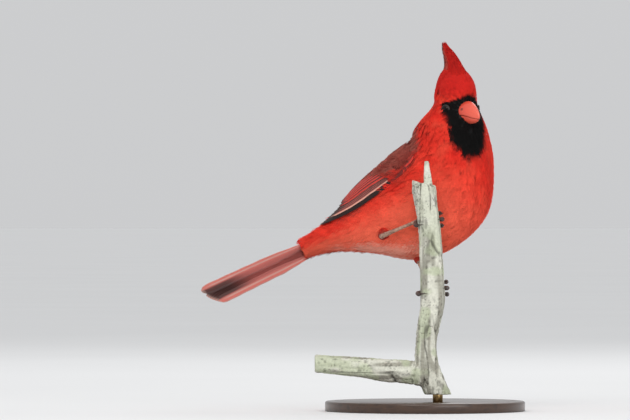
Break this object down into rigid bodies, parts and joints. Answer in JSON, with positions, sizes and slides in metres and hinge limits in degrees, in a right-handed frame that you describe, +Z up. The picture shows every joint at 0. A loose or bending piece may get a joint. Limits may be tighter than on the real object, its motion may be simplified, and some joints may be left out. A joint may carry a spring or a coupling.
{
  "type": "northern cardinal display model",
  "caption": "Life-size male northern cardinal, a crested red songbird, gripping an upright piece of forked dead branch that a rod holds over a flat round base.",
  "frame": {"origin": "centre of the round base's underside", "axes": "+Z up; +X to the right of the picture, the way the breast points; +Y away from the picture's camera, which looks along +Y"},
  "size_m": [0.1951, 0.12, 0.2218],
  "materials": {
    "plumage": "soft matt red body feathers, black round the bill, grey-brown on the back",
    "wing_feathers": "dusky red flight feathers with dark webs and shafts, faint silky sheen",
    "tail_feathers": "dull rose-red tail feathers with dusky middles and pale shafts",
    "bill": "smooth coral-red horn, satin",
    "eye": "wet, near-black brown",
    "leg_scales": "dusky reddish-brown scaled skin, satin",
    "claw": "dark brown horn, satin",
    "weathered_wood": "barkless grey dead wood, cracked, with pale green-grey lichen",
    "base_wood": "dark stained wood, satin varnish",
    "rod_metal": "brushed brass"
  },
  "bodies": {
    "root": {"head": "plumage", "neck": "plumage", "torso": "plumage", "rump": "plumage", "wing_right": "wing_feathers", "wing_left": "wing_feathers", "tail": "tail_feathers", "bill_upper": "bill", "bill_lower": "bill", "eye_right": "eye", "eye_left": "eye", "thigh_right": "plumage", "thigh_left": "plumage", "shank_right": "leg_scales", "shank_left": "leg_scales", "foot_right": "leg_scales", "foot_left": "leg_scales", "claw_right_hind": "claw", "claw_right_inner": "claw", "claw_right_middle": "claw", "claw_right_outer": "claw", "claw_left_hind": "claw", "claw_left_inner": "claw", "claw_left_middle": "claw", "claw_left_outer": "claw", "perch": "weathered_wood", "stand_base": "base_wood", "stand_rod": "rod_metal"}
  },
  "joints": []
}
